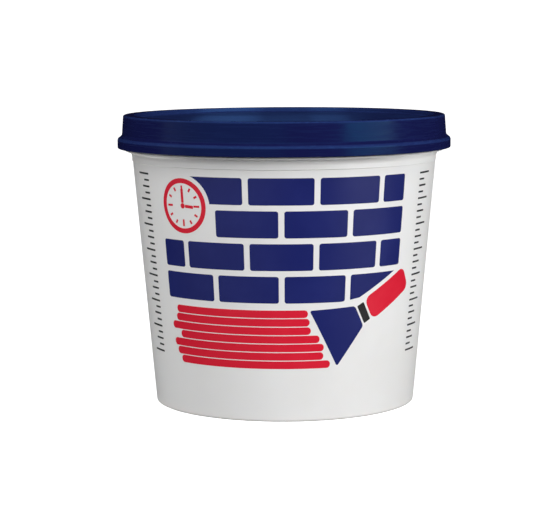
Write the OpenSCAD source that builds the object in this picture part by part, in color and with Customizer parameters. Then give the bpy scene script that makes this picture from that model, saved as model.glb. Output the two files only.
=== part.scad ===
// Press-lid tub of ready-mixed wall filler: a tapered moulded tub, its lid and the paste inside.
// Millimetres, +Z up. The origin is at the middle of the ring that the tub stands on.

/* [Tub] */
// Height of the tub from the table to the top of its rim
tub_h = 113.8; // [90:0.1:160]
// Inside diameter of the mouth
mouth_d = 121.8; // [112:0.1:150]
// Outside diameter of the wall at the table, before its corner is rounded
foot_d = 104; // [80:0.5:116]
// Thickness of the tapered wall
wall_t = 1.2; // [0.8:0.05:2]
// Thickness of the base
base_t = 1.4; // [0.8:0.05:2.5]
// Height of the base panel's underside above the table
base_lift = 1.6; // [0.6:0.05:3]
// Width of the foot ring, from the outside of the wall to its inner edge
foot_w = 4.6; // [3.5:0.1:10]
// Radius of the foot's outside corner
foot_corner_r = 1.5; // [0.3:0.1:2.5]
// Radius of the inside corner between the wall and the base
floor_corner_r = 2.2; // [0.5:0.1:2.8]

/* [Collar and flange] */
// Drop from the top of the flange to the lower edge of the collar
collar_drop = 4.8; // [4:0.1:10]
// How far the collar stands out from the wall
collar_step = 0.28; // [0.1:0.02:0.6]
// Width of the shoulder inside the mouth, which a nested tub hangs on
shoulder_w = 1.5; // [0.8:0.05:2]
// How far the flange stands out from the neck
flange_w = 1.6; // [1.2:0.1:3.5]
// Thickness of the flange
flange_t = 0.7; // [0.5:0.05:2]
// Radius of the fillet under the flange
flange_fillet_r = 2.6; // [0.5:0.1:3]

/* [Neck and rim] */
// Thickness of the neck above the flange
neck_t = 1.2; // [0.8:0.05:1.8]
// Height of the rim bead
rim_bead_h = 3.5; // [2.2:0.1:4.5]
// How far the rim bead stands out from the neck
rim_bead_w = 0.8; // [0.4:0.05:1.2]
// Size of the slope that leads the lid on to the rim
rim_lead = 0.6; // [0.3:0.05:1]

/* [Lid] */
// Height of the lid from the lower edge of its hem to its top
lid_h = 13.1; // [11.5:0.1:16]
// Thickness of the lid's walls
lid_t = 1.2; // [0.8:0.05:1.6]
// Drop from the top of the stacking ring to the panel
panel_drop = 1.8; // [0.8:0.1:3]
// Draft angle of the skirt
skirt_draft = 4.1; // [0.5:0.1:6]
// Height of the upright band of the hem round the foot of the skirt
hem_h = 3.7; // [2:0.1:4.2]
// Height of the slope from that band up to the skirt
hem_slope_h = 1.4; // [1:0.1:2.4]
// How far the hem stands out from the skirt
hem_w = 1.76; // [0.8:0.02:2.5]
// Radius of the hem's rounded shoulder
hem_shoulder_r = 1.1; // [0.4:0.1:3]
// Radius of the outer edge of the stacking ring
ring_edge_r = 0.7; // [0.4:0.1:1.6]
// Thickness of the plug's wall
plug_t = 1.2; // [0.8:0.05:1.8]
// Depth of the plug below the top of the rim
plug_h = 5.3; // [4:0.1:8]
// Size of the slope that leads the plug into the mouth
plug_lead = 0.5; // [0.2:0.05:0.6]
// Height of the snap bead inside the skirt
snap_h = 1.8; // [1:0.1:2.2]
// How far the snap bead stands in from the skirt
snap_w = 0.4; // [0.1:0.05:0.5]

/* [Filler] */
// Drop from the top of the rim to the level of the paste
fill_drop = 9.8; // [8.5:0.1:60]
// Number of rings that the filling nozzle leaves in the paste
ripple_n = 5; // [2:1:8]
// Height of those rings
ripple_h = 0.9; // [0.3:0.1:1.5]

/* [Clearances] */
// Gap between the plug and the inside of the mouth
plug_gap = 0.25; // [0.1:0.05:0.5]
// Gap between the rim bead and the skirt
skirt_gap = 0.3; // [0.2:0.05:0.6]
// Gap between the rim bead and the snap bead under it
snap_gap = 0.3; // [0.1:0.05:0.6]
// Gap between the hem and the flange
hem_gap = 0.4; // [0.2:0.1:1.5]
// Gap between the paste and the tub
filler_gap = 0.15; // [0.1:0.05:0.4]

/* [Mould mark] */
// Diameter of the dimple round the gate in the middle of the base
gate_d = 9; // [4:0.5:16]
// Depth of that dimple
gate_depth = 0.4; // [0.2:0.05:0.6]

/* [Hidden] */
$fn = 96;

// Radius that takes the sharpness off a moulded edge
edge_r = 0.35;
// Radius that softens a moulded inside corner
soft_r = 0.6;
// Largest share of a straight stretch that the roundings at its two ends take up
rounding_share = 0.95;
// Angle between neighbouring points of a rounding
arc_step = 15;

// Heights
lid_top = tub_h + lid_t;
lid_low = lid_top - lid_h;
flange_top = lid_low - hem_gap;
flange_low = flange_top - flange_t;
collar_low = flange_top - collar_drop;
shoulder_low = flange_low - shoulder_w;
base_top = base_lift + base_t;
rim_bead_low = tub_h - rim_bead_h;
panel_top = lid_top - panel_drop;
panel_low = panel_top - lid_t;
plug_low = tub_h - plug_h;
hem_top = lid_low + hem_h;
hem_slope_top = hem_top + hem_slope_h;
hem_in_drop = lid_t * tan(atan2(hem_w, hem_slope_h) / 2);
snap_top = rim_bead_low - snap_gap;
snap_low = snap_top - snap_h;
snap_mid = (snap_top + snap_low) / 2;
fill_low = tub_h - fill_drop;
fill_top = fill_low + ripple_h;

// Radii
foot_r = foot_d / 2;
mouth_r = mouth_d / 2;
gate_r = gate_d / 2;
wall_top_r = mouth_r - shoulder_w + wall_t;
wall_slope = (wall_top_r - foot_r) / collar_low;
collar_r = wall_top_r + collar_step;
neck_r = mouth_r + neck_t;
flange_r = neck_r + flange_w;
rim_bead_r = neck_r + rim_bead_w;
plug_r = mouth_r - plug_gap;
plug_in_r = plug_r - plug_t;
hem_r = skirt_out(hem_slope_top) + hem_w;
hem_in_r = hem_r - lid_t;
foot_in_r = foot_r - foot_w;
ripple_pitch = mouth_r / (ripple_n - 0.5);
ripple_r = (pow(ripple_pitch / 2, 2) + pow(ripple_h, 2)) / (2 * ripple_h);

// Radius of the inside of the tapered wall at a height
function wall_in(z) = foot_r - wall_t + wall_slope * z;

// Radius of the inside of the skirt at a height
function skirt_in(z) = rim_bead_r + skirt_gap + (tub_h - z) * tan(skirt_draft);

// Radius of the outside of the skirt at a height
function skirt_out(z) = skirt_in(z) + lid_t;

// An outline is a list of corners, each [radius, height, rounding], taken anticlockwise.
// The point of a corner, with the list taken as a closed loop
function point(corners, i) =
    let (corner = corners[(i + len(corners)) % len(corners)])
    [corner[0], corner[1]];

// The length of the side that leaves a corner
function side(corners, i) = norm(point(corners, i + 1) - point(corners, i));

// The unit vectors from a corner to the one before it and to the one after it
function back(corners, i) = (point(corners, i - 1) - point(corners, i)) / side(corners, i - 1);
function ahead(corners, i) = (point(corners, i + 1) - point(corners, i)) / side(corners, i);

// Half of the angle between the two sides of a corner
function half_angle(corners, i) = acos(back(corners, i) * ahead(corners, i)) / 2;

// How far along its sides a corner's rounding reaches
function reach(corners, i) =
    let (corner = corners[(i + len(corners)) % len(corners)])
    corner[2] == 0 ? 0 : corner[2] / tan(half_angle(corners, i));

// A corner's rounding, made smaller where its sides are too short for it
function rounding(corners, i) =
    let (
        before = reach(corners, i - 1) + reach(corners, i),
        after = reach(corners, i) + reach(corners, i + 1)
    )
    corners[i][2] * min(
        1,
        rounding_share * side(corners, i - 1) / before,
        rounding_share * side(corners, i) / after
    );

// A vector turned anticlockwise by an angle
function turned(v, angle) = [
    v.x * cos(angle) - v.y * sin(angle),
    v.x * sin(angle) + v.y * cos(angle)
];

// The points of the arc that rounds a corner, which turns the other way at an inward corner
function arc_points(corners, i) =
    let (
        r = rounding(corners, i),
        half = half_angle(corners, i),
        bisector = back(corners, i) + ahead(corners, i),
        centre = point(corners, i) + bisector / norm(bisector) * r / sin(half),
        spoke = point(corners, i) + back(corners, i) * r / tan(half) - centre,
        way = sign(cross(ahead(corners, i), back(corners, i))),
        steps = ceil((180 - 2 * half) / arc_step)
    )
    [for (k = [0 : steps]) centre + turned(spoke, way * (180 - 2 * half) * k / steps)];

// The points of an outline with its corners rounded
function rounded_points(corners) = [
    for (i = [0 : len(corners) - 1])
        each corners[i][2] > 0 ? arc_points(corners, i) : [point(corners, i)]
];

// The inside of the tub from the middle of its base up to its mouth, drawn in by a gap.
// The base's step and the shoulder both slope at 45 degrees.
function cavity(gap) =
    let (
        step_gap = gap * (sqrt(2) - 1),
        shoulder_in_r = wall_in(shoulder_low)
    )
    [
        [0, base_top + gap, 0],
        [foot_in_r - base_lift + step_gap, base_top + gap, soft_r],
        [foot_in_r + step_gap, base_t + gap, soft_r],
        [wall_in(base_t) - gap, base_t + gap, floor_corner_r],
        [shoulder_in_r - gap, shoulder_low, soft_r],
        [mouth_r - gap, shoulder_low + mouth_r - shoulder_in_r, soft_r]
    ];

// The outside of the tub from the middle of its base up to its rim
function tub_outside() = [
    [0, base_lift + gate_depth, 0],
    [gate_r, base_lift + gate_depth, edge_r],
    [gate_r, base_lift, edge_r],
    [foot_in_r - base_lift, base_lift, soft_r],
    [foot_in_r, 0, soft_r],
    [foot_r, 0, foot_corner_r],
    [wall_top_r, collar_low, 0],
    [collar_r, collar_low + collar_step, 0],
    [collar_r, flange_low, flange_fillet_r],
    [flange_r, flange_low, edge_r],
    [flange_r, flange_top, edge_r],
    [neck_r, flange_top, soft_r],
    [neck_r, rim_bead_low, soft_r],
    [rim_bead_r, rim_bead_low + rim_bead_w, edge_r],
    [rim_bead_r, tub_h - rim_lead, edge_r],
    [rim_bead_r - rim_lead, tub_h, edge_r],
    [mouth_r, tub_h, edge_r]
];

// The lid from the underside of its panel, round the plug, the channel and the hem, to the panel's top
function lid_outline() = [
    [0, panel_low, 0],
    [plug_in_r, panel_low, soft_r],
    [plug_in_r, plug_low, edge_r],
    [plug_r - plug_lead, plug_low, edge_r],
    [plug_r, plug_low + 2 * plug_lead, edge_r],
    [plug_r, tub_h, 0],
    [skirt_in(tub_h), tub_h, edge_r],
    [skirt_in(snap_top), snap_top, edge_r],
    [skirt_in(snap_mid) - snap_w, snap_mid, soft_r],
    [skirt_in(snap_low), snap_low, edge_r],
    [skirt_in(hem_slope_top - hem_in_drop), hem_slope_top - hem_in_drop, soft_r],
    [hem_in_r, hem_top - hem_in_drop, soft_r],
    [hem_in_r, lid_low, edge_r],
    [hem_r, lid_low, edge_r],
    [hem_r, hem_top, hem_shoulder_r],
    [skirt_out(hem_slope_top), hem_slope_top, hem_shoulder_r],
    [skirt_out(lid_top), lid_top, ring_edge_r],
    [plug_in_r, lid_top, soft_r],
    [plug_in_r, panel_top, soft_r],
    [0, panel_top, 0]
];

// The moulded tub: foot ring, raised base, tapered wall, collar, flange, neck and rim bead
module tub() {
    inside = cavity(0);
    color("white")
        rotate_extrude()
            polygon(rounded_points(concat(
                tub_outside(),
                [for (i = [len(inside) - 1 : -1 : 0]) inside[i]]
            )));
}

// The moulded lid: recessed panel, stacking ring, plug, skirt with a snap bead, and hem
module lid() {
    color("midnightblue")
        rotate_extrude()
            polygon(rounded_points(lid_outline()));
}

// The half section below the paste's surface, with a low arc for each ring and one at the middle
module below_surface() {
    square([mouth_r, fill_low]);
    for (i = [0 : ripple_n - 1])
        translate([i * ripple_pitch, fill_top - ripple_r])
            circle(ripple_r, $fn = 360);
}

// The paste, which takes the tub's inside shape up to its own surface
module filler() {
    mouth_edge = [[mouth_r - filler_gap, tub_h, 0], [0, tub_h, 0]];
    color("ivory")
        rotate_extrude()
            intersection() {
                polygon(rounded_points(concat(cavity(filler_gap), mouth_edge)));
                below_surface();
            }
}

tub();
lid();
filler();
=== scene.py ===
"""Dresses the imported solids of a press-lid tub of ready-mixed wall filler.

Sizes are in millimetres and repeat those of the solids. A mesh is scaled to metres when it becomes a
piece.
"""

import logging
import math
from collections.abc import Iterator, Sequence
from dataclasses import dataclass, field
from enum import Enum
from typing import Any, NamedTuple

import bmesh
import bpy
from mathutils import Matrix, Quaternion, Vector, noise


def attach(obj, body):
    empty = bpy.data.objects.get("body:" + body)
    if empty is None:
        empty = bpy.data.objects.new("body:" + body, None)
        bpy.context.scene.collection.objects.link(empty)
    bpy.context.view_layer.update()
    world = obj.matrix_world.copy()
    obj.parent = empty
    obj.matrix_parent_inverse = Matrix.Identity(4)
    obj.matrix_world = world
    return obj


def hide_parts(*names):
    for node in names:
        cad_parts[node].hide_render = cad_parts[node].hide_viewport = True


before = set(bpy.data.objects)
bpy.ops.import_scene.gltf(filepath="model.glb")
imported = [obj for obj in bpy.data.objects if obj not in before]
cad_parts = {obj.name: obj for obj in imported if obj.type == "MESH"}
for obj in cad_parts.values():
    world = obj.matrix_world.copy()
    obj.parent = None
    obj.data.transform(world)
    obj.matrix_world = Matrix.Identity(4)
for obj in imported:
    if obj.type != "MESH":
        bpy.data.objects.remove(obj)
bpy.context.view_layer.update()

LOG = logging.getLogger("filler_tub")
MM = 0.001
WELD = 1e-5
NOISE_MIDDLE = 0.5
PLASTIC_IOR = 1.49
WHITE = (1.0, 1.0, 1.0, 1.0)

Colour = tuple[float, float, float]
Point = tuple[float, float]
Span = tuple[float, float]


class Body(Enum):
    """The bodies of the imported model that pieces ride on."""

    TUB = "tub"
    LID = "lid"


class Axis(Enum):
    """The coordinates of a place on a piece."""

    X = 0
    Y = 1
    Z = 2


class Corner(NamedTuple):
    """One corner of a half section: its radius, its height and how far it is rounded."""

    radius: float
    height: float
    rounding: float = 0.0


class Cloud(NamedTuple):
    """A noise: the width of its blotches, its finer layers and its level share.

    A blotch's height is its level share of how far it reaches across and along.
    """

    size: float
    detail: float = 2.0
    level: float = 1.0


class ReflectionStripe(NamedTuple):
    """A stripe of painted reflection from front to back over the lid: its middle, its half width and its
    strength.
    """

    middle: float
    half: float
    strength: float


class Hand(NamedTuple):
    """A hand of the drawn clock: its angle in degrees and its length."""

    degrees: float
    length: float


class Value:
    """A shader's number that can stand in a Python expression."""

    def __init__(self, shader: "Shader", socket: bpy.types.NodeSocket) -> None:
        """Wraps an output socket of a shader's node."""
        self.shader = shader
        self.socket = socket

    def _math(self, operation: str, *operands: "Value | float") -> "Value":
        """Adds a Math node.

        Args:
            operation: the Math node's operation.
            operands: the values or numbers that it takes, in order.

        Returns:
            The node's result.
        """
        node = self.shader.add("ShaderNodeMath", {"operation": operation}, dict(enumerate(operands)))
        return Value(self.shader, node.outputs[0])

    def __add__(self, other: "Value | float") -> "Value":
        """Adds a value or a number."""
        return self._math("ADD", self, other)

    def __radd__(self, other: float) -> "Value":
        """Is added to a number."""
        return self._math("ADD", other, self)

    def __sub__(self, other: "Value | float") -> "Value":
        """Takes a value or a number away."""
        return self._math("SUBTRACT", self, other)

    def __rsub__(self, other: float) -> "Value":
        """Is taken away from a number."""
        return self._math("SUBTRACT", other, self)

    def __mul__(self, other: "Value | float") -> "Value":
        """Is multiplied by a value or a number."""
        return self._math("MULTIPLY", self, other)

    def __rmul__(self, other: float) -> "Value":
        """Multiplies a number."""
        return self._math("MULTIPLY", other, self)

    def sine(self) -> "Value":
        """Gives the sine of the value in radians."""
        return self._math("SINE", self)

    def swing(self, width: float) -> "Value":
        """Gives how far a noise is from its middle, times a width."""
        return (self - NOISE_MIDDLE) * width

    def band(self, low: float, high: float) -> "Value":
        """Gives a mask that rises smoothly from 0 at low to 1 at high."""
        sockets = {"Value": self, "From Min": low, "From Max": high}
        node = self.shader.add("ShaderNodeMapRange", {"interpolation_type": "SMOOTHSTEP"}, sockets)
        return Value(self.shader, node.outputs[0])

    def past(self, edge: float, soft: float = 0.4) -> "Value":
        """Gives a mask of where a length in metres is past an edge, which is in millimetres."""
        return self.band((edge - soft / 2) * MM, (edge + soft / 2) * MM)


class Shader:
    """One material and the nodes that it is made of."""

    MIX_INPUTS = (0, 6, 7)
    MIX_RESULT = 2

    def __init__(self, name: str) -> None:
        """Starts an empty material with the place on the piece as its only input.

        Args:
            name: the material's name.
        """
        self.material = bpy.data.materials.new(name)
        self.material.use_nodes = True
        self.tree = self.material.node_tree
        self.tree.nodes.clear()
        self.place = self.add("ShaderNodeTexCoord").outputs["Object"]

    def add(
        self,
        kind: str,
        settings: dict[str, Any] | None = None,
        sockets: dict[str | int, Any] | None = None,
    ) -> bpy.types.Node:
        """Adds a node.

        Args:
            kind: the node's type.
            settings: its settings, which are set first.
            sockets: values or links of its input sockets, by name or number.

        Returns:
            The node.
        """
        node = self.tree.nodes.new(kind)
        for name, setting in (settings or {}).items():
            setattr(node, name, setting)
        for key, given in (sockets or {}).items():
            source = given.socket if isinstance(given, Value) else given
            if isinstance(source, bpy.types.NodeSocket):
                self.tree.links.new(source, node.inputs[key])
            else:
                node.inputs[key].default_value = source
        return node

    def cloud(self, kind: Cloud) -> Value:
        """Adds a noise.

        Args:
            kind: what the noise is like.

        Returns:
            The noise, about NOISE_MIDDLE on average.
        """
        place = self.place
        if kind.level != 1.0:
            scale = (kind.level, kind.level, 1.0)
            place = self.add("ShaderNodeMapping", None, {"Vector": place, "Scale": scale}).outputs[0]
        sockets = {"Vector": place, "Scale": 1.0 / (kind.size * MM), "Detail": kind.detail}
        return Value(self, self.add("ShaderNodeTexNoise", None, sockets).outputs[0])

    def axis(self, axis: Axis) -> Value:
        """Gives one coordinate of the place on the piece, in metres."""
        node = self.add("ShaderNodeSeparateXYZ", None, {0: self.place})
        return Value(self, node.outputs[axis.value])

    def reach(self) -> Value:
        """Gives the distance from the Z axis.

        Returns:
            The distance in metres.
        """
        sockets = {0: self.place, 1: (1.0, 1.0, 0.0)}
        flat = self.add("ShaderNodeVectorMath", {"operation": "MULTIPLY"}, sockets)
        node = self.add("ShaderNodeVectorMath", {"operation": "LENGTH"}, {0: flat.outputs[0]})
        return Value(self, node.outputs["Value"])

    def graze(self) -> Value:
        """Gives how nearly edge on the surface is seen, from 0 face on to 1 edge on."""
        node = self.add("ShaderNodeLayerWeight", None, {"Blend": 0.5})
        return Value(self, node.outputs["Facing"])

    def blend(self, share: Value, first: Any, second: Any) -> bpy.types.NodeSocket:
        """Mixes two colours.

        Args:
            share: how much of the second colour there is.
            first: a colour or a colour socket.
            second: a colour or a colour socket.

        Returns:
            The mixed colour.
        """
        opaque = [(*given, 1.0) if isinstance(given, tuple) else given for given in (share, first, second)]
        sockets = dict(zip(self.MIX_INPUTS, opaque))
        return self.add("ShaderNodeMix", {"data_type": "RGBA"}, sockets).outputs[self.MIX_RESULT]

    def finish(
        self,
        colour: Any,
        roughness: Value | float,
        relief: Value,
        depth: float,
        **fixed: Any,
    ) -> bpy.types.Material:
        """Joins the nodes to a surface.

        Args:
            colour: the base colour.
            roughness: the roughness.
            relief: the relief, from 0 to 1.
            depth: the relief's depth in millimetres.
            fixed: other socket values that are the same all over, by name with underscores for spaces.

        Returns:
            The finished material.
        """
        sockets = {"Strength": 1.0, "Distance": depth * MM, "Height": relief}
        bump = self.add("ShaderNodeBump", None, sockets)
        sockets = {"Base Color": colour, "Roughness": roughness, "Normal": bump.outputs[0]}
        sockets.update({name.replace("_", " "): number for name, number in fixed.items()})
        surface = self.add("ShaderNodeBsdfPrincipled", None, sockets)
        self.add("ShaderNodeOutputMaterial", None, {"Surface": surface.outputs[0]})
        return self.material


class SheenAndWear(NamedTuple):
    """How strong a painted sheen and wear are at a place: all over, and more where the rub noise is."""

    even: float
    sheen_and_rub: float

    def under(self, rub: Value) -> Value:
        """Gives the painted sheen and wear under a mask of rubbing."""
        return self.even + rub * self.sheen_and_rub


@dataclass(frozen=True)
class TubPlastic:
    """White polypropylene from a polished mould.

    It is a little scuffed round the foot, and has a painted contact shadow along the foot's lower edge.
    """

    colour: Colour = (0.885, 0.865, 0.85)
    shade: Colour = (0.845, 0.82, 0.80)
    shade_span: Span = (0.35, 0.75)
    scuff: Colour = (0.60, 0.59, 0.57)
    scuff_share: float = 0.6
    foot_height: float = 2.2
    # Painted contact shadow: a thin dark line along the foot's lower edge.
    foot_shadow: Colour = (0.42, 0.41, 0.39)
    foot_shadow_share: float = 0.45
    foot_shadow_drift: float = 0.3
    foot_shadow_height: float = 0.65
    foot_shadow_fade: float = 1.04
    drift: Cloud = Cloud(38.0, 3.0)
    rub: Cloud = Cloud(1.1, 4.0, 0.16)
    rub_span: Span = (0.60, 0.78)
    roughness: float = 0.36
    drift_rough: float = 0.10
    rub_rough: float = 0.08
    foot_rough: float = 0.15
    waves: Cloud = Cloud(3.4, 1.0)
    wave_h: float = 0.7
    grain: Cloud = Cloud(0.35)
    grain_h: float = 0.3
    depth: float = 0.012
    shine: float = 0.3
    scatter: float = 0.06

    def material(self) -> bpy.types.Material:
        """Makes the material.

        Returns:
            The material.
        """
        shader = Shader("tub_plastic")
        drift = shader.cloud(self.drift)
        rub = shader.cloud(self.rub).band(*self.rub_span)
        height = shader.axis(Axis.Z)
        foot = 1.0 - height.past(self.foot_height / 2, self.foot_height)
        # Mask of the painted contact shadow along the foot's lower edge.
        foot_shadow = 1.0 - height.past(self.foot_shadow_height, self.foot_shadow_fade)
        clean = shader.blend(drift.band(*self.shade_span), self.colour, self.shade)
        scuffed = shader.blend(foot * rub * self.scuff_share, clean, self.scuff)
        colour = shader.blend(foot_shadow * (self.foot_shadow_share + drift * self.foot_shadow_drift), scuffed, self.foot_shadow)
        worn = rub * self.rub_rough + foot * self.foot_rough
        roughness = self.roughness + drift.swing(self.drift_rough) + worn
        relief = shader.cloud(self.waves) * self.wave_h + shader.cloud(self.grain) * self.grain_h
        return shader.finish(
            colour,
            roughness,
            relief,
            self.depth,
            IOR=PLASTIC_IOR,
            Specular_IOR_Level=self.shine,
            Subsurface_Weight=self.scatter,
        )


@dataclass(frozen=True)
class LidPlastic:
    """Navy polypropylene with faint turning marks on its panel and streaks round its skirt.

    It has a painted sheen on its panel and painted highlights on its upper edge and the hem's shoulder,
    patchy with rub marks. A painted reflection shows on the panel only where it is seen nearly edge
    on, and on the ring's inner wall.
    """

    colour: Colour = (0.0071, 0.0091, 0.0610)
    shade: Colour = (0.0065, 0.0084, 0.0565)
    shade_span: Span = (0.35, 0.7)
    # Lighter blue of the painted sheen on the panel and the painted highlights on the upper edge and the
    # hem's shoulder; also of the rub streaks round the skirt.
    sheen_and_rub: Colour = (0.021, 0.046, 0.175)
    gleam: Colour = (0.03, 0.54, 1.0)
    shine: float = 0.08
    drift: Cloud = Cloud(24.0, 3.0)
    rub: Cloud = Cloud(0.9, 4.0, 0.3)
    rub_span: Span = (0.50, 0.74)
    streak: Cloud = Cloud(0.8, 3.0, 0.05)
    streak_span: Span = (0.42, 0.68)
    streak_middle: float = 0.4
    streak_wear: float = 0.10
    panel_r: float = 60.0
    panel_low: float = 112.8
    # Painted sheen over the panel, patchy with the rub and drift noises.
    panel_sheen: SheenAndWear = SheenAndWear(0.24, 0.12)
    panel_drift: float = 0.20
    panel_span: Span = (0.40, 0.65)
    edge_r: float = 63.5
    edge_low: float = 114.3
    # Painted highlight along the ring's upper edge, partly rub wear.
    edge_highlight_and_wear: SheenAndWear = SheenAndWear(0.40, 0.3)
    # Painted highlight along the hem's shoulder, between these heights.
    shoulder_low: float = 105.0
    shoulder_top: float = 106.2
    shoulder_highlight: SheenAndWear = SheenAndWear(0.42, 0.2)
    # Painted reflection: on the panel and the lip only where seen nearly edge on, and on the ring's inner
    # wall.
    painted_reflection: Colour = (0.036, 0.088, 0.270)
    reflection_graze_span: Span = (0.86, 0.95)
    reflection_back: float = 24.0
    reflection_fade: float = 18.0
    reflection_far: float = 0.35
    inner_low: float = 113.6
    inner_reflection: float = 0.6
    reflection_stripes: tuple[ReflectionStripe, ...] = (
        ReflectionStripe(-4.0, 42.0, 0.34),
        ReflectionStripe(-22.5, 16.0, 0.62),
        ReflectionStripe(18.5, 10.0, 0.35),
    )
    roughness: float = 0.26
    drift_rough: float = 0.12
    rub_rough: float = 0.06
    panel_rough: float = 0.22
    streak_rough: float = 0.16
    mark_pitch: float = 0.55
    mark_h: float = 0.12
    waves: Cloud = Cloud(2.6, 1.0)
    wave_h: float = 0.6
    grain: Cloud = Cloud(0.3)
    grain_h: float = 0.3
    depth: float = 0.008

    @staticmethod
    def _reflection_stripe(across: Value, stripe: ReflectionStripe) -> Value:
        """Gives the mask of a stripe of painted reflection, strongest along its middle."""
        offset = (across - stripe.middle * MM) * (1.0 / (stripe.half * MM))
        return (1.0 - (offset * offset).band(0.0, 1.0)) * stripe.strength

    def _reflection_mask(self, shader: Shader, panel: Value) -> Value:
        """Gives the mask of the painted reflection on the panel, the lip round it and the ring's inner
        wall.

        Args:
            shader: the lid's shader.
            panel: the mask of the panel and the inner wall.

        Returns:
            The mask.
        """
        across, along, height = (shader.axis(axis) for axis in Axis)
        near = 1.0 - along.past(self.reflection_back, self.reflection_fade)
        lip = (1.0 - panel) * height.past(self.edge_low) * near
        flat = panel * (self.reflection_far + near * (1.0 - self.reflection_far)) + lip
        inner = panel * height.past(self.inner_low)
        # Stripes of painted reflection across the panel.
        smear = sum(self._reflection_stripe(across, stripe) for stripe in self.reflection_stripes)
        return smear * (flat * shader.graze().band(*self.reflection_graze_span) + inner * self.inner_reflection)

    def material(self) -> bpy.types.Material:
        """Makes the material.

        Returns:
            The material.
        """
        shader = Shader("lid_plastic")
        drift = shader.cloud(self.drift)
        rub = shader.cloud(self.rub).band(*self.rub_span)
        streak = shader.cloud(self.streak).band(*self.streak_span)
        reach, height = shader.reach(), shader.axis(Axis.Z)
        panel = (1.0 - reach.past(self.panel_r)) * height.past(self.panel_low)
        edge = reach.past(self.edge_r) * height.past(self.edge_low)
        shoulder = height.past(self.shoulder_low) * (1.0 - height.past(self.shoulder_top))
        skirt = reach.past(self.panel_r) * (streak - self.streak_middle)
        # Painted sheen on the panel, painted highlights on the upper edge and the hem's shoulder, and rub
        # streaks round the skirt.
        worn = (
            panel * (self.panel_sheen.under(rub) + drift.band(*self.panel_span) * self.panel_drift)
            + edge * self.edge_highlight_and_wear.under(rub)
            + shoulder * self.shoulder_highlight.under(rub)
            + skirt * self.streak_wear
        )
        clean = shader.blend(drift.band(*self.shade_span), self.colour, self.shade)
        sheen_and_rub = shader.blend(worn, clean, self.sheen_and_rub)
        # Painted reflection over the panel, the lip and the ring's inner wall.
        colour = shader.blend(self._reflection_mask(shader, panel), sheen_and_rub, self.painted_reflection)
        dulled = rub * self.rub_rough + panel * self.panel_rough + skirt * self.streak_rough
        roughness = self.roughness + drift.swing(self.drift_rough) + dulled
        marks = (reach * (math.tau / (self.mark_pitch * MM))).sine() * self.mark_h
        uneven = shader.cloud(self.waves) * self.wave_h + shader.cloud(self.grain) * self.grain_h
        return shader.finish(
            colour,
            roughness,
            uneven + marks,
            self.depth,
            IOR=PLASTIC_IOR,
            Specular_IOR_Level=self.shine,
            Specular_Tint=(*self.gleam, 1.0),
        )


@dataclass(frozen=True)
class WallInk:
    """Offset ink on the wall, which lies a little uneven on the plastic."""

    name: str
    colour: Colour
    thin: Colour
    drift: Cloud = Cloud(16.0, 3.0)
    drift_span: Span = (0.42, 0.8)
    drift_thin: float = 0.5
    drift_rough: float = 0.10
    drift_h: float = 0.4
    grain: Cloud = Cloud(0.22)
    grain_span: Span = (0.55, 0.8)
    grain_thin: float = 0.35
    grain_rough: float = 0.08
    grain_h: float = 0.6
    roughness: float = 0.36
    depth: float = 0.006
    shine: float = 0.25

    def material(self) -> bpy.types.Material:
        """Makes the material.

        Returns:
            The material.
        """
        shader = Shader(self.name)
        drift, grain = shader.cloud(self.drift), shader.cloud(self.grain)
        thinned = drift.band(*self.drift_span) * self.drift_thin
        speckled = grain.band(*self.grain_span) * self.grain_thin
        colour = shader.blend(thinned + speckled, self.colour, self.thin)
        roughness = self.roughness + drift.swing(self.drift_rough) + grain.swing(self.grain_rough)
        relief = grain * self.grain_h + drift * self.drift_h
        return shader.finish(
            colour, roughness, relief, self.depth, IOR=PLASTIC_IOR, Specular_IOR_Level=self.shine
        )


@dataclass(frozen=True)
class FillerPaste:
    """Damp ready-mixed filler: off-white, fine grained and matt, and darker in its hollows."""

    colour: Colour = (0.80, 0.79, 0.75)
    shade: Colour = (0.72, 0.705, 0.66)
    drift: Cloud = Cloud(9.0, 4.0)
    drift_span: Span = (0.35, 0.7)
    drift_shade: float = 0.7
    drift_rough: float = 0.3
    drift_h: float = 0.35
    pits: Cloud = Cloud(2.2, 1.0)
    pit_span: Span = (0.24, 0.34)
    pit_shade: float = 0.3
    pit_h: float = 0.6
    grain: Cloud = Cloud(0.7, 4.0)
    grain_h: float = 0.45
    roughness: float = 0.58
    depth: float = 0.16
    ior: float = 1.45
    scatter: float = 0.08

    def material(self) -> bpy.types.Material:
        """Makes the material.

        Returns:
            The material.
        """
        shader = Shader("filler_paste")
        drift, grain = shader.cloud(self.drift), shader.cloud(self.grain)
        pits = 1.0 - shader.cloud(self.pits).band(*self.pit_span)
        shaded = drift.band(*self.drift_span) * self.drift_shade + pits * self.pit_shade
        colour = shader.blend(shaded, self.colour, self.shade)
        roughness = self.roughness + drift.swing(self.drift_rough)
        relief = grain * self.grain_h + drift * self.drift_h - pits * self.pit_h
        return shader.finish(
            colour, roughness, relief, self.depth, IOR=self.ior, Subsurface_Weight=self.scatter
        )


@dataclass(frozen=True)
class FloorPaint:
    """Pale studio floor, which glows so that it stays near white."""

    colour: Colour = (0.80, 0.80, 0.80)
    shade: Colour = (0.78, 0.78, 0.78)
    drift: Cloud = Cloud(180.0)
    roughness: float = 0.7
    depth: float = 0.01
    glow: float = 0.96

    def material(self) -> bpy.types.Material:
        """Makes the material.

        Returns:
            The material.
        """
        shader = Shader("floor_paint")
        drift = shader.cloud(self.drift)
        colour = shader.blend(drift, self.colour, self.shade)
        return shader.finish(
            colour, self.roughness, drift, self.depth, Emission_Color=WHITE, Emission_Strength=self.glow
        )


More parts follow.
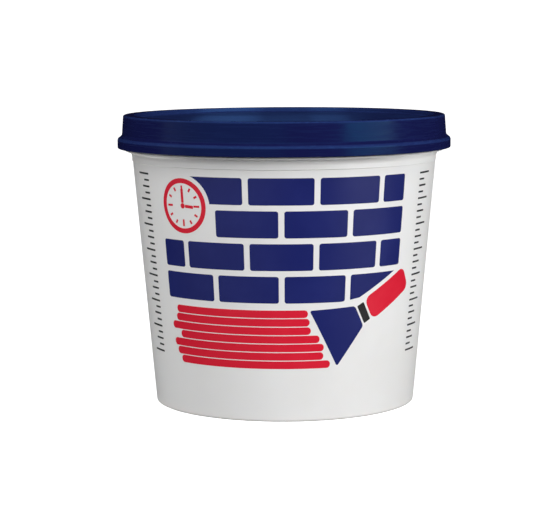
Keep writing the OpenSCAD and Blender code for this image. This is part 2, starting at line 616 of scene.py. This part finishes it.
@dataclass(frozen=True)
class Section:
    """A half section in the plane of radius and height, from the axis round and back to it.

    The roundings at the two ends of a side take up no more than a share of it.
    """

    corners: tuple[Corner, ...]
    share: float = 0.95

    def _arms(self, i: int) -> tuple[Vector, Vector]:
        """Gives the sides from a corner to the one before it and the one after it."""
        here, back, ahead = (Vector(self.corners[k][:2]) for k in (i, i - 1, i + 1))
        return back - here, ahead - here

    def bend(self, i: int) -> float:
        """Gives the angle by which the outline turns at a corner, in radians."""
        back, ahead = self._arms(i)
        return math.pi - back.angle(ahead)

    def _wanted(self, i: int) -> float:
        """Gives how far along its sides a corner's rounding would reach, were they long enough."""
        last = len(self.corners) - 1
        return self.corners[i].rounding * math.tan(self.bend(i) / 2) if 0 < i < last else 0.0

    def reach(self, i: int) -> float:
        """Gives how far along its sides a corner's rounding reaches.

        Args:
            i: the corner's number.

        Returns:
            The reach in millimetres.
        """
        wanted = self._wanted(i)
        if not wanted:
            return 0.0
        room = [
            self.share * arm.length / (wanted + self._wanted(k))
            for arm, k in zip(self._arms(i), (i - 1, i + 1))
        ]
        return wanted * min(1.0, *room)


class Form:
    """A mesh in the making, in millimetres."""

    FINE_ROUNDING = 1.0
    FINE_STEP = math.radians(9)
    COARSE_STEP = math.radians(20)
    SHARP = math.radians(32)

    def __init__(self) -> None:
        """Starts with an empty mesh."""
        self.bm = bmesh.new()

    def turn(self, section: Section, steps: int) -> None:
        """Turns a half section about the Z axis, with its corners rounded.

        Args:
            section: the half section.
            steps: how many faces go round the axis.
        """
        verts = [self.bm.verts.new((c.radius, 0.0, c.height)) for c in section.corners]
        for pair in zip(verts, verts[1:]):
            self.bm.edges.new(pair)
        for i, vert in enumerate(verts):
            reach = section.reach(i)
            if reach:
                fine = section.corners[i].rounding >= self.FINE_ROUNDING
                step = self.FINE_STEP if fine else self.COARSE_STEP
                segments = max(2, math.ceil(section.bend(i) / step))
                self.round([vert], reach, segments)
        bmesh.ops.spin(
            self.bm,
            geom=self.bm.verts[:] + self.bm.edges[:],
            cent=(0.0, 0.0, 0.0),
            axis=(0.0, 0.0, 1.0),
            dvec=(0.0, 0.0, 0.0),
            angle=math.tau,
            steps=steps,
            use_merge=True,
        )
        bmesh.ops.remove_doubles(self.bm, verts=self.bm.verts[:], dist=WELD)
        bmesh.ops.recalc_face_normals(self.bm, faces=self.bm.faces[:])

    def round(self, verts: list[bmesh.types.BMVert], reach: float, segments: int) -> None:
        """Rounds corners.

        Args:
            verts: the corners.
            reach: how far along its sides each rounding reaches.
            segments: how many sides each rounding has.
        """
        bmesh.ops.bevel(
            self.bm,
            geom=verts,
            affect="VERTICES",
            offset_type="OFFSET",
            offset=reach,
            segments=segments,
            profile=0.5,
            material=-1,
        )

    def _face_rank(self, face: bmesh.types.BMFace) -> float:
        """Gives a face's place in the mesh's list, from the numbers of its first three points.

        Args:
            face: the face.

        Returns:
            A number that no other face has.
        """
        first, second, third = sorted(vert.index for vert in face.verts)[:3]
        count = len(self.bm.verts)
        return float((first * count + second) * count + third)

    def piece(self, name: str, material: bpy.types.Material) -> bpy.types.Object:
        """Makes the mesh an object, in metres, with its faces in an order that is the same each run.

        Args:
            name: the object's name.
            material: its finish.

        Returns:
            The object, at the origin.
        """
        bmesh.ops.scale(self.bm, vec=(MM, MM, MM), verts=self.bm.verts[:])
        self.bm.verts.index_update()
        self.bm.faces.sort(key=self._face_rank)
        for face in self.bm.faces:
            face.smooth = True
        mesh = bpy.data.meshes.new(name)
        self.bm.to_mesh(mesh)
        self.bm.free()
        mesh.materials.append(material)
        made = bpy.data.objects.new(name, mesh)
        bpy.context.scene.collection.objects.link(made)
        return made

    def ride(
        self,
        name: str,
        material: bpy.types.Material,
        body: Body,
        node: str | None = None,
        slot: str | None = None,
    ) -> bpy.types.Object:
        """Makes the mesh a piece of the object.

        Args:
            name: the piece's name.
            material: its finish.
            body: the body that it moves with.
            node: the solid that it stands for, if any.
            slot: the record's material slot that its finish belongs to, if any; not used.

        Returns:
            The piece.
        """
        made = self.piece(name, material)
        made.data.set_sharp_from_angle(angle=self.SHARP)
        made.modifiers.new("even_shading", "WEIGHTED_NORMAL").keep_sharp = True
        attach(made, body.value)
        if node:
            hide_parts(node)
        LOG.info("%s: %d faces, on body %s", name, len(made.data.polygons), body.value)
        return made


@dataclass
class Tub:
    """The moulded tub: foot ring, raised base, tapered wall, collar, flange, neck and rim bead."""

    height: float = 113.8
    mouth_d: float = 121.8
    foot_d: float = 104.0
    wall_t: float = 1.2
    base_t: float = 1.4
    base_lift: float = 1.6
    foot_w: float = 4.6
    foot_corner_r: float = 0.5
    floor_corner_r: float = 2.2
    flange_top: float = 101.5
    flange_t: float = 0.7
    flange_w: float = 1.6
    flange_fillet_r: float = 2.6
    collar_drop: float = 4.8
    collar_step: float = 0.28
    shoulder_w: float = 1.5
    neck_t: float = 1.2
    rim_bead_h: float = 3.5
    rim_bead_w: float = 0.8
    rim_lead: float = 0.6
    gate_d: float = 9.0
    gate_depth: float = 0.4
    edge_r: float = 0.35
    soft_r: float = 0.6
    steps: int = 240
    finish: TubPlastic = field(default_factory=TubPlastic)

    @property
    def mouth_r(self) -> float:
        """Inside radius of the mouth."""
        return self.mouth_d / 2

    @property
    def rim_bead_r(self) -> float:
        """Radius of the rim bead."""
        return self.mouth_r + self.neck_t + self.rim_bead_w

    @property
    def collar_low(self) -> float:
        """Height of the lower edge of the collar."""
        return self.flange_top - self.collar_drop

    @property
    def shoulder_low(self) -> float:
        """Height of the foot of the shoulder inside the mouth."""
        return self.flange_top - self.flange_t - self.shoulder_w

    def wall_radius(self, height: float) -> float:
        """Gives the outside radius of the tapered wall.

        Args:
            height: the height above the floor.

        Returns:
            The radius there.
        """
        top = self.mouth_r - self.shoulder_w + self.wall_t
        foot = self.foot_d / 2
        return foot + (top - foot) * height / self.collar_low

    def inside(self, gap: float) -> list[Corner]:
        """Gives the inside of the tub from the middle of the base up to the mouth.

        Args:
            gap: how far the outline is drawn in.

        Returns:
            The corners, without the mouth's own edge.
        """
        step_gap = gap * (math.sqrt(2) - 1)
        floor = self.base_t + gap
        foot_in = self.foot_d / 2 - self.foot_w + step_gap
        wall_in = self.wall_radius(self.base_t) - self.wall_t
        shoulder_in = self.wall_radius(self.shoulder_low) - self.wall_t
        shoulder_top = self.shoulder_low + self.mouth_r - shoulder_in
        return [
            Corner(0.0, self.base_lift + floor),
            Corner(foot_in - self.base_lift, self.base_lift + floor, self.soft_r),
            Corner(foot_in, floor, self.soft_r),
            Corner(wall_in - gap, floor, self.floor_corner_r),
            Corner(shoulder_in - gap, self.shoulder_low, self.soft_r),
            Corner(self.mouth_r - gap, shoulder_top, self.soft_r),
        ]

    def section(self) -> Section:
        """Gives the tub's half section.

        Returns:
            The section, up the outside and down the inside.
        """
        edge, soft = self.edge_r, self.soft_r
        gate_r = self.gate_d / 2
        gate_top = self.base_lift + self.gate_depth
        foot_in = self.foot_d / 2 - self.foot_w
        collar_r = self.wall_radius(self.collar_low) + self.collar_step
        neck_r = self.mouth_r + self.neck_t
        flange_r = neck_r + self.flange_w
        flange_low = self.flange_top - self.flange_t
        bead_low = self.height - self.rim_bead_h
        outside = [
            Corner(0.0, gate_top),
            Corner(gate_r, gate_top, edge),
            Corner(gate_r, self.base_lift, edge),
            Corner(foot_in - self.base_lift, self.base_lift, soft),
            Corner(foot_in, 0.0, soft),
            Corner(self.foot_d / 2, 0.0, self.foot_corner_r),
            Corner(self.wall_radius(self.collar_low), self.collar_low),
            Corner(collar_r, self.collar_low + self.collar_step),
            Corner(collar_r, flange_low, self.flange_fillet_r),
            Corner(flange_r, flange_low, edge),
            Corner(flange_r, self.flange_top, edge),
            Corner(neck_r, self.flange_top, soft),
            Corner(neck_r, bead_low, soft),
            Corner(self.rim_bead_r, bead_low + self.rim_bead_w, edge),
            Corner(self.rim_bead_r, self.height - self.rim_lead, edge),
            Corner(self.rim_bead_r - self.rim_lead, self.height, edge),
            Corner(self.mouth_r, self.height, edge),
        ]
        return Section((*outside, *reversed(self.inside(0.0))))

    def build(self) -> bpy.types.Object:
        """Builds and dresses the tub.

        Returns:
            The piece.
        """
        form = Form()
        form.turn(self.section(), self.steps)
        return form.ride("tub_shell", self.finish.material(), Body.TUB, "tub", "tub_plastic")


@dataclass
class Lid:
    """The moulded lid: recessed panel, stacking ring, plug, skirt with a snap bead, and hem."""

    tub: Tub
    height: float = 13.1
    wall_t: float = 1.2
    panel_drop: float = 1.8
    skirt_draft: float = math.radians(4.1)
    hem_h: float = 3.7
    hem_slope_h: float = 1.4
    hem_w: float = 1.76
    hem_shoulder_r: float = 1.1
    ring_edge_r: float = 0.7
    plug_t: float = 1.2
    plug_h: float = 5.3
    plug_lead: float = 0.5
    plug_gap: float = 0.25
    skirt_gap: float = 0.3
    snap_h: float = 1.8
    snap_w: float = 0.4
    snap_gap: float = 0.3
    steps: int = 240
    finish: LidPlastic = field(default_factory=LidPlastic)

    def skirt_in(self, height: float) -> float:
        """Gives the inside radius of the skirt at a height."""
        drop = self.tub.height - height
        return self.tub.rim_bead_r + self.skirt_gap + drop * math.tan(self.skirt_draft)

    def section(self) -> Section:
        """Gives the lid's half section.

        Returns:
            The section, along the underside and back over the top.
        """
        tub = self.tub
        edge, soft = tub.edge_r, tub.soft_r
        top = tub.height + self.wall_t
        low = top - self.height
        panel_top = top - self.panel_drop
        plug_low = tub.height - self.plug_h
        plug_r = tub.mouth_r - self.plug_gap
        plug_in = plug_r - self.plug_t
        snap_top = tub.height - tub.rim_bead_h - self.snap_gap
        snap_mid = snap_top - self.snap_h / 2
        snap_low = snap_top - self.snap_h
        hem_top = low + self.hem_h
        slope_top = hem_top + self.hem_slope_h
        in_drop = self.wall_t * math.tan(math.atan2(self.hem_w, self.hem_slope_h) / 2)
        hem_r = self.skirt_in(slope_top) + self.wall_t + self.hem_w
        corners = (
            Corner(0.0, panel_top - self.wall_t),
            Corner(plug_in, panel_top - self.wall_t, soft),
            Corner(plug_in, plug_low, edge),
            Corner(plug_r - self.plug_lead, plug_low, edge),
            Corner(plug_r, plug_low + 2 * self.plug_lead, edge),
            Corner(plug_r, tub.height),
            Corner(self.skirt_in(tub.height), tub.height, edge),
            Corner(self.skirt_in(snap_top), snap_top, edge),
            Corner(self.skirt_in(snap_mid) - self.snap_w, snap_mid, soft),
            Corner(self.skirt_in(snap_low), snap_low, edge),
            Corner(self.skirt_in(slope_top - in_drop), slope_top - in_drop, soft),
            Corner(hem_r - self.wall_t, hem_top - in_drop, soft),
            Corner(hem_r - self.wall_t, low, edge),
            Corner(hem_r, low, edge),
            Corner(hem_r, hem_top, self.hem_shoulder_r),
            Corner(self.skirt_in(slope_top) + self.wall_t, slope_top, self.hem_shoulder_r),
            Corner(self.skirt_in(top) + self.wall_t, top, self.ring_edge_r),
            Corner(plug_in, top, soft),
            Corner(plug_in, panel_top, soft),
            Corner(0.0, panel_top),
        )
        return Section(corners)

    def build(self) -> bpy.types.Object:
        """Builds and dresses the lid.

        Returns:
            The piece.
        """
        form = Form()
        form.turn(self.section(), self.steps)
        return form.ride("lid_shell", self.finish.material(), Body.LID, "lid", "lid_plastic")


@dataclass
class Filler:
    """The paste in the tub, laid in a flat coil by the filling nozzle.

    The layers are the heights at which the noises for the coil's wander and the lumps are read.
    """

    tub: Tub
    gap: float = 0.15
    drop: float = 9.8
    coil_turns: float = 4.5
    coil_h: float = 0.9
    coil_power: float = 0.7
    wander: float = 0.35
    wander_size: float = 40.8
    wander_layer: float = 3.0
    creep_h: float = 0.7
    creep_w: float = 5.0
    lump_h: float = 0.35
    lump_size: float = 17.0
    lump_layer: float = 11.0
    rings: int = 90
    steps: int = 180
    finish: FillerPaste = field(default_factory=FillerPaste)

    def _rise(self, x: float, y: float, reach: float) -> float:
        """Gives how far the paste stands above its level.

        Args:
            x: place across the tub.
            y: place along the tub.
            reach: the radius of the surface.

        Returns:
            The rise in millimetres.
        """
        radius = math.hypot(x, y)
        wander = self.wander * noise.noise(Vector((x, y, self.wander_layer)) / self.wander_size)
        turns = radius / reach * self.coil_turns - math.atan2(y, x) / math.tau + wander
        coil = abs(math.sin(math.pi * turns)) ** self.coil_power
        lump = noise.noise(Vector((x, y, self.lump_layer)) / self.lump_size)
        creep = max(0.0, 1.0 - (reach - radius) / self.creep_w) ** 2
        fade = min(1.0, radius / self.creep_w)
        return self.coil_h * coil * fade * (1.0 - creep) + self.lump_h * lump + self.creep_h * creep

    def build(self) -> bpy.types.Object:
        """Builds and dresses the paste.

        Returns:
            The piece.
        """
        level = self.tub.height - self.drop
        walls = self.tub.inside(self.gap)
        reach = walls[-1].radius
        surface = [Corner(reach * k / self.rings, level) for k in range(self.rings, -1, -1)]
        form = Form()
        form.turn(Section((*walls, *surface)), self.steps)
        for vert in form.bm.verts:
            if vert.co.z > level - WELD:
                vert.co.z += self._rise(vert.co.x, vert.co.y, reach)
        return form.ride("filler_fill", self.finish.material(), Body.TUB, "filler", "filler_paste")


class FlatArt(Form):
    """Ink on a flat sheet, with X along the wall and Y up it, which is then wrapped round the wall."""

    COLUMN = 1.5
    CORNER_STEPS = 5

    def patch(
        self,
        points: Sequence[Point],
        rounding: float = 0.0,
        place: Matrix | None = None,
    ) -> None:
        """Lays a patch of ink.

        Args:
            points: its corners, anticlockwise.
            rounding: how far along its sides each corner's rounding reaches.
            place: where it goes, if it isn't drawn in place.
        """
        shift = place or Matrix.Identity(4)
        verts = [self.bm.verts.new(shift @ Vector((x, y, 0.0))) for x, y in points]
        self.bm.faces.new(verts)
        if rounding:
            self.round(verts, rounding, self.CORNER_STEPS)

    def bar(self, low: Point, high: Point, rounding: float = 0.0, place: Matrix | None = None) -> None:
        """Lays an upright rectangle of ink, given by its lower left and upper right corners."""
        self.patch([low, (high[0], low[1]), high, (low[0], high[1])], rounding, place)

    def disc(self, centre: Point, radius: float, segments: int) -> None:
        """Lays a disc of ink."""
        place = Matrix.Translation((*centre, 0.0))
        bmesh.ops.create_circle(self.bm, cap_ends=True, segments=segments, radius=radius, matrix=place)

    @staticmethod
    def _may_touch(face: bmesh.types.BMFace, middle: Vector, width: float) -> bool:
        """Tells whether a face may reach into a circle.

        Args:
            face: the face.
            middle: the circle's middle.
            width: the circle's radius.

        Returns:
            Whether the circle round the face meets it.
        """
        centre = face.calc_center_bounds()
        reach = max((vert.co - centre).length for vert in face.verts)
        return (centre - middle).length < width + reach

    def clear(self, outline: Sequence[Vector]) -> None:
        """Takes away the ink inside a convex outline.

        Args:
            outline: the outline's corners, anticlockwise.
        """
        sides = [
            (a, Vector((b.y - a.y, a.x - b.x, 0.0)).normalized())
            for a, b in zip(outline, [*outline[1:], outline[0]])
        ]
        middle = sum(outline, Vector()) / len(outline)
        width = max((corner - middle).length for corner in outline)
        for corner, out in sides:
            near = [face for face in self.bm.faces if self._may_touch(face, middle, width)]
            parts = dict.fromkeys(part for face in near for part in (*face.verts, *face.edges))
            bmesh.ops.bisect_plane(self.bm, geom=[*parts, *near], dist=WELD, plane_co=corner, plane_no=out)
        inside = [
            face
            for face in self.bm.faces
            if all((face.calc_center_median() - corner) @ out < 0.0 for corner, out in sides)
        ]
        bmesh.ops.delete(self.bm, geom=inside, context="FACES")

    def wrap(self, tub: Tub, radius: float, lift: float, thickness: float) -> None:
        """Wraps the sheet round the tub's wall and gives it thickness.

        Args:
            tub: the tub.
            radius: the radius at which the sheet keeps its width.
            lift: how far the ink's face stands out from the wall.
            thickness: how thick the ink is.
        """
        bmesh.ops.remove_doubles(self.bm, verts=self.bm.verts[:], dist=WELD)
        reach = max(abs(v.co.x) for v in self.bm.verts)
        count = math.ceil(reach / self.COLUMN)
        for k in range(-count, count + 1):
            bmesh.ops.bisect_plane(
                self.bm,
                geom=self.bm.verts[:] + self.bm.edges[:] + self.bm.faces[:],
                dist=WELD,
                plane_co=(k * self.COLUMN, 0.0, 0.0),
                plane_no=(1.0, 0.0, 0.0),
            )
        for vert in self.bm.verts:
            angle, height = vert.co.x / radius, vert.co.y
            out = tub.wall_radius(height) + lift
            vert.co = (out * math.sin(angle), -out * math.cos(angle), height)
        self.bm.normal_update()
        bmesh.ops.solidify(self.bm, geom=self.bm.faces[:], thickness=thickness)


@dataclass(frozen=True)
class Knife:
    """The drawn filling knife. Before it is placed, its edge lies on the Y axis and its handle along X.

    The nip is the share of its half width by which the handle's clearance is cut off at its end corners.
    """

    tip: Point = (15.5, 32.2)
    tilt: float = math.radians(28)
    blade_w: float = 25.0
    blade_l: float = 17.0
    blade_r: float = 1.0
    neck_w: float = 9.0
    ferrule_l: float = 4.0
    ferrule_gap: float = 0.8
    ferrule_inset: float = 0.6
    ferrule_r: float = 0.4
    handle_l: float = 24.0
    handle_w: float = 9.6
    handle_gap: float = 0.9
    handle_r: float = 2.88
    nip: float = 0.45

    @property
    def place(self) -> Matrix:
        """Where the knife lies on the sheet."""
        return Matrix.Translation((*self.tip, 0.0)) @ Matrix.Rotation(self.tilt, 4, "Z")

    @property
    def ferrule_end(self) -> float:
        """Where the ferrule ends and the handle starts."""
        return self.blade_l + self.ferrule_l

    def clearance(self, margin: float) -> Iterator[list[Vector]]:
        """Yields the outlines of blade and handle that other ink keeps clear of.

        Args:
            margin: the width that is kept clear.

        Yields:
            Each outline's corners, anticlockwise.
        """
        neck = self.neck_w / 2 + margin
        edge = self.blade_w / 2 + margin
        blade = [(-margin, -edge), (self.ferrule_end, -neck), (self.ferrule_end, neck), (-margin, edge)]
        start, end = self.ferrule_end - margin, self.ferrule_end + self.handle_l + margin
        half = self.handle_w / 2 + margin
        nip = half * self.nip
        handle = [
            (start, -half),
            (end - nip, -half),
            (end, -half + nip),
            (end, half - nip),
            (end - nip, half),
            (start, half),
        ]
        for outline in (blade, handle):
            yield [self.place @ Vector((x, y, 0.0)) for x, y in outline]

    def draw_blade(self, art: FlatArt) -> None:
        """Lays the blade, which narrows to its neck.

        Args:
            art: the sheet that it goes on.
        """
        half, neck = self.blade_w / 2, self.neck_w / 2
        blade = [(0.0, -half), (self.blade_l, -neck), (self.blade_l, neck), (0.0, half)]
        art.patch(blade, self.blade_r, self.place)

    def draw_handle(self, art: FlatArt) -> None:
        """Lays the handle.

        Args:
            art: the sheet that it goes on.
        """
        start, end = self.ferrule_end + self.handle_gap, self.ferrule_end + self.handle_l
        half = self.handle_w / 2
        art.bar((start, -half), (end, half), self.handle_r, self.place)

    def draw_ferrule(self, art: FlatArt) -> None:
        """Lays the ferrule between the blade and the handle.

        Args:
            art: the sheet that it goes on.
        """
        start = self.blade_l + self.ferrule_gap
        half = self.neck_w / 2 - self.ferrule_inset
        art.bar((start, -half), (self.ferrule_end, half), self.ferrule_r, self.place)


@dataclass(frozen=True)
class Clock:
    """The drawn clock, which has marks and no figures."""

    middle: Point = (-40.4, 82.3)
    radius: float = 10.6
    ring_w: float = 1.9
    ring_steps: int = 48
    clear_steps: int = 40
    hours: int = 12
    mark_gap: float = 0.9
    mark_w: float = 0.8
    mark_lengths: tuple[float, ...] = (2.6, 1.5, 1.5)
    hands: tuple[Hand, ...] = (Hand(90.0, 6.6), Hand(-4.0, 5.0))
    hand_start: float = 1.15
    hand_w: float = 1.2
    hand_r: float = 0.3
    hub_r: float = 1.05
    hub_steps: int = 20

    def circle(self, radius: float, steps: int) -> list[Vector]:
        """Gives a circle round the clock's middle.

        Args:
            radius: its radius.
            steps: how many corners it has.

        Returns:
            Its corners, anticlockwise.
        """
        x, y = self.middle
        turns = [math.tau * k / steps for k in range(steps)]
        return [Vector((x + radius * math.cos(a), y + radius * math.sin(a), 0.0)) for a in turns]

    def _spoke(self, degrees: float) -> Matrix:
        """Gives the place of a bar that points out from the middle."""
        return Matrix.Translation((*self.middle, 0.0)) @ Matrix.Rotation(math.radians(degrees), 4, "Z")

    def draw(self, art: FlatArt) -> None:
        """Lays the ring, the marks, the hands and the hub.

        Args:
            art: the sheet that they go on.
        """
        inner = self.radius - self.ring_w
        art.disc(self.middle, self.radius, self.ring_steps)
        art.clear(self.circle(inner, self.ring_steps))
        outer, half = inner - self.mark_gap, self.mark_w / 2
        for hour in range(self.hours):
            length = self.mark_lengths[hour % len(self.mark_lengths)]
            art.bar((outer - length, -half), (outer, half), 0.0, self._spoke(360 / self.hours * hour))
        half = self.hand_w / 2
        for hand in self.hands:
            art.bar((self.hand_start, -half), (hand.length, half), self.hand_r, self._spoke(hand.degrees))
        art.disc(self.middle, self.hub_r, self.hub_steps)


@dataclass(frozen=True)
class BrickWall:
    """The drawn wall: courses of bricks, each half a brick along from the one below."""

    left: float = -52.0
    low: float = 46.2
    length: float = 23.8
    height: float = 10.25
    joint: float = 2.2
    courses: int = 4
    bricks: int = 4
    corner_r: float = 0.9

    def draw(self, art: FlatArt, clock: Clock, margin: float) -> None:
        """Lays the bricks, apart from those whose middle lies under the clock.

        Args:
            art: the sheet that they go on.
            clock: the clock.
            margin: the width that is kept clear round it.
        """
        pitch = self.length + self.joint
        right = self.left + self.bricks * pitch - self.joint
        for course in range(self.courses):
            low = self.low + course * (self.height + self.joint)
            start = self.left - (course % 2) * pitch / 2
            for k in range(self.bricks + 1):
                x0 = max(self.left, start + k * pitch)
                x1 = min(right, start + k * pitch + self.length)
                middle = ((x0 + x1) / 2, low + self.height / 2)
                free = math.dist(middle, clock.middle) > clock.radius + margin
                if free and x1 - x0 > self.joint:
                    art.bar((x0, low), (x1, low + self.height), self.corner_r)


@dataclass(frozen=True)
class PasteStrokes:
    """The drawn smear: strokes with ragged ends, which stop along the knife's edge."""

    left: float = -49.0
    low: float = 20.8
    count: int = 7
    height: float = 2.95
    gap: float = 0.34
    rounding: float = 1.416
    start_swing: float = 2.6
    start_turn: float = 2.4
    start_phase: float = 0.8
    end_gap: float = 2.4
    end_swing: float = 1.2
    end_turn: float = 1.9

    def draw(self, art: FlatArt, knife: Knife) -> None:
        """Lays the strokes.

        Args:
            art: the sheet that they go on.
            knife: the knife that draws them.
        """
        for k in range(self.count):
            low = self.low + k * (self.height + self.gap)
            lean = (low + self.height / 2 - knife.tip[1]) * math.tan(knife.tilt)
            start = self.left + self.start_swing * math.sin(self.start_turn * k + self.start_phase)
            end = knife.tip[0] - lean - self.end_gap - self.end_swing * math.sin(self.end_turn * k)
            art.bar((start, low), (end, low + self.height), self.rounding)


@dataclass(frozen=True)
class RuledScales:
    """The two drawn scales, whose ticks run outwards from a line up each side of the picture."""

    inner: float = 60.5
    low: float = 23.0
    ticks: int = 29
    pitch: float = 2.5
    thickness: float = 0.7
    lengths: tuple[float, ...] = (9.0, 4.2, 6.2, 4.2)
    corner_r: float = 0.2

    def draw(self, art: FlatArt) -> None:
        """Lays the ticks.

        Args:
            art: the sheet that they go on.
        """
        for side in (-1, 1):
            for k in range(self.ticks):
                length = self.lengths[k % len(self.lengths)]
                height = self.low + k * self.pitch
                x0, x1 = sorted((side * self.inner, side * (self.inner + length)))
                art.bar((x0, height), (x1, height + self.thickness), self.corner_r)


@dataclass
class WallPrint:
    """A plain printed picture: a brick wall, a filling knife that draws a smear, a clock and two scales."""

    tub: Tub
    radius: float = 57.0
    lift: float = 0.03
    ink_t: float = 0.05
    margin: float = 1.7
    bricks: BrickWall = BrickWall()
    knife: Knife = Knife()
    strokes: PasteStrokes = PasteStrokes()
    clock: Clock = Clock()
    scales: RuledScales = RuledScales()
    navy: WallInk = WallInk("navy_ink", (0.0105, 0.0158, 0.126), (0.016, 0.024, 0.16))
    red: WallInk = WallInk("red_ink", (0.69, 0.012, 0.035), (0.74, 0.025, 0.052))
    black: WallInk = WallInk("black_ink", (0.012, 0.012, 0.013), (0.03, 0.03, 0.032))

    def navy_art(self) -> FlatArt:
        """Draws the brick wall, cleared round the knife and the clock, and the knife's blade.

        Returns:
            The flat sheet.
        """
        art = FlatArt()
        self.bricks.draw(art, self.clock, self.margin)
        for outline in self.knife.clearance(self.margin):
            art.clear(outline)
        art.clear(self.clock.circle(self.clock.radius + self.margin, self.clock.clear_steps))
        self.knife.draw_blade(art)
        return art

    def red_art(self) -> FlatArt:
        """Draws the smear, the knife's handle and the clock.

        Returns:
            The flat sheet.
        """
        art = FlatArt()
        self.strokes.draw(art, self.knife)
        self.knife.draw_handle(art)
        self.clock.draw(art)
        return art

    def black_art(self) -> FlatArt:
        """Draws the two scales up the sides and the knife's ferrule.

        Returns:
            The flat sheet.
        """
        art = FlatArt()
        self.scales.draw(art)
        self.knife.draw_ferrule(art)
        return art

    def build(self) -> list[bpy.types.Object]:
        """Builds and dresses the three colours of the print.

        Returns:
            The pieces.
        """
        arts = {
            "print_navy": (self.navy_art(), self.navy),
            "print_red": (self.red_art(), self.red),
            "print_black": (self.black_art(), self.black),
        }
        made = []
        for name, (art, ink) in arts.items():
            art.wrap(self.tub, self.radius, self.lift, self.ink_t)
            made.append(art.ride(name, ink.material(), Body.TUB))
        return made


@dataclass(frozen=True)
class Softbox:
    """One soft studio light, placed by its bearing from the object.

    Angles are in degrees, lengths in metres and the power in watts.
    """

    name: str
    bearing: float
    elevation: float
    distance: float
    width: float
    height: float
    power: float

    def build(self, aim: Vector) -> bpy.types.Object:
        """Hangs the light.

        Args:
            aim: the point that it faces.

        Returns:
            The light.
        """
        lamp = bpy.data.lights.new(self.name, "AREA")
        lamp.shape = "RECTANGLE"
        lamp.size, lamp.size_y = self.width, self.height
        lamp.energy = self.power
        made = bpy.data.objects.new(self.name, lamp)
        turn, rise = math.radians(self.bearing), math.radians(self.elevation)
        out = Vector((math.sin(turn) * math.cos(rise), -math.cos(turn) * math.cos(rise), math.sin(rise)))
        made.location = aim + out * self.distance
        made.rotation_mode = "QUATERNION"
        made.rotation_quaternion = out.to_track_quat("Z", "Y")
        made.visible_camera = False
        bpy.context.scene.collection.objects.link(made)
        return made


@dataclass
class Studio:
    """The camera, the floor that sweeps up all round, and the lights.

    The focal length and the picture's width are in pixels, and the camera's clip is in metres.
    """

    eye: Vector = field(default_factory=lambda: Vector((0.0, -784.1, 151.07)) * MM)
    aim: Vector = field(default_factory=lambda: Vector((-3.63, 0.0, 57.18)) * MM)
    roll: float = -0.0045
    focal_px: float = 1953.2
    frame_px: int = 551
    sensor: float = 36.0
    clip: Span = (0.05, 20.0)
    floor_r: float = 1300.0
    floor_steps: int = 96
    sweep_r: float = 900.0
    backdrop_h: float = 2600.0
    ambient: float = 0.004
    lights: tuple[Softbox, ...] = (
        Softbox("key_light", 61.0, 12.0, 1.4, 0.95, 0.8, 17.2),
        Softbox("fill_light", -46.0, 27.0, 1.8, 4.0, 2.8, 46.0),
        Softbox("front_light", 2.0, 52.0, 1.6, 2.0, 0.9, 9.4),
        Softbox("bounce_light", 10.0, -50.0, 1.2, 1.6, 0.8, 0.6),
        Softbox("back_light", 180.0, -48.0, 1.5, 2.6, 0.8, 20.0),
    )
    paint: FloorPaint = field(default_factory=FloorPaint)

    def build_camera(self) -> bpy.types.Object:
        """Places the camera where the photograph was taken from.

        Returns:
            The camera.
        """
        lens = bpy.data.cameras.new("camera")
        lens.sensor_width = self.sensor
        lens.lens = self.focal_px * self.sensor / self.frame_px
        lens.clip_start, lens.clip_end = self.clip
        made = bpy.data.objects.new("camera", lens)
        made.location = self.eye
        made.rotation_mode = "QUATERNION"
        level = (self.aim - self.eye).to_track_quat("-Z", "Y")
        made.rotation_quaternion = level @ Quaternion((0.0, 0.0, 1.0), self.roll)
        bpy.context.scene.collection.objects.link(made)
        bpy.context.scene.camera = made
        return made

    def build_floor(self) -> bpy.types.Object:
        """Lays the floor, which only the camera sees, so that it throws no light on the object.

        Returns:
            The floor.
        """
        wall_r = self.floor_r + self.sweep_r
        corners = (
            Corner(0.0, 0.0),
            Corner(wall_r, 0.0, self.sweep_r),
            Corner(wall_r, self.backdrop_h),
        )
        form = Form()
        form.turn(Section(corners), self.floor_steps)
        bmesh.ops.reverse_faces(form.bm, faces=form.bm.faces[:])
        made = form.piece("floor", self.paint.material())
        made.visible_diffuse = False
        made.visible_glossy = False
        made.visible_shadow = False
        return made

    def build_world(self) -> None:
        """Sets the even light of the room and plain colours for the picture."""
        scene = bpy.context.scene
        world = bpy.data.worlds.new("room")
        world.use_nodes = True
        air = world.node_tree.nodes["Background"]
        air.inputs["Color"].default_value = WHITE
        air.inputs["Strength"].default_value = self.ambient
        scene.world = world
        scene.view_settings.view_transform = "Standard"
        scene.view_settings.look = "None"

    def build(self) -> None:
        """Builds the whole studio."""
        self.build_camera()
        self.build_floor()
        self.build_world()
        for light in self.lights:
            light.build(Vector((0.0, 0.0, self.aim.z)))


def main() -> None:
    """Builds the studio, then each piece of the object in order."""
    logging.basicConfig(level=logging.INFO, format="%(message)s")
    Studio().build()
    tub = Tub()
    tub.build()
    Lid(tub).build()
    Filler(tub).build()
    WallPrint(tub).build()


if __name__ == "__main__":
    main()
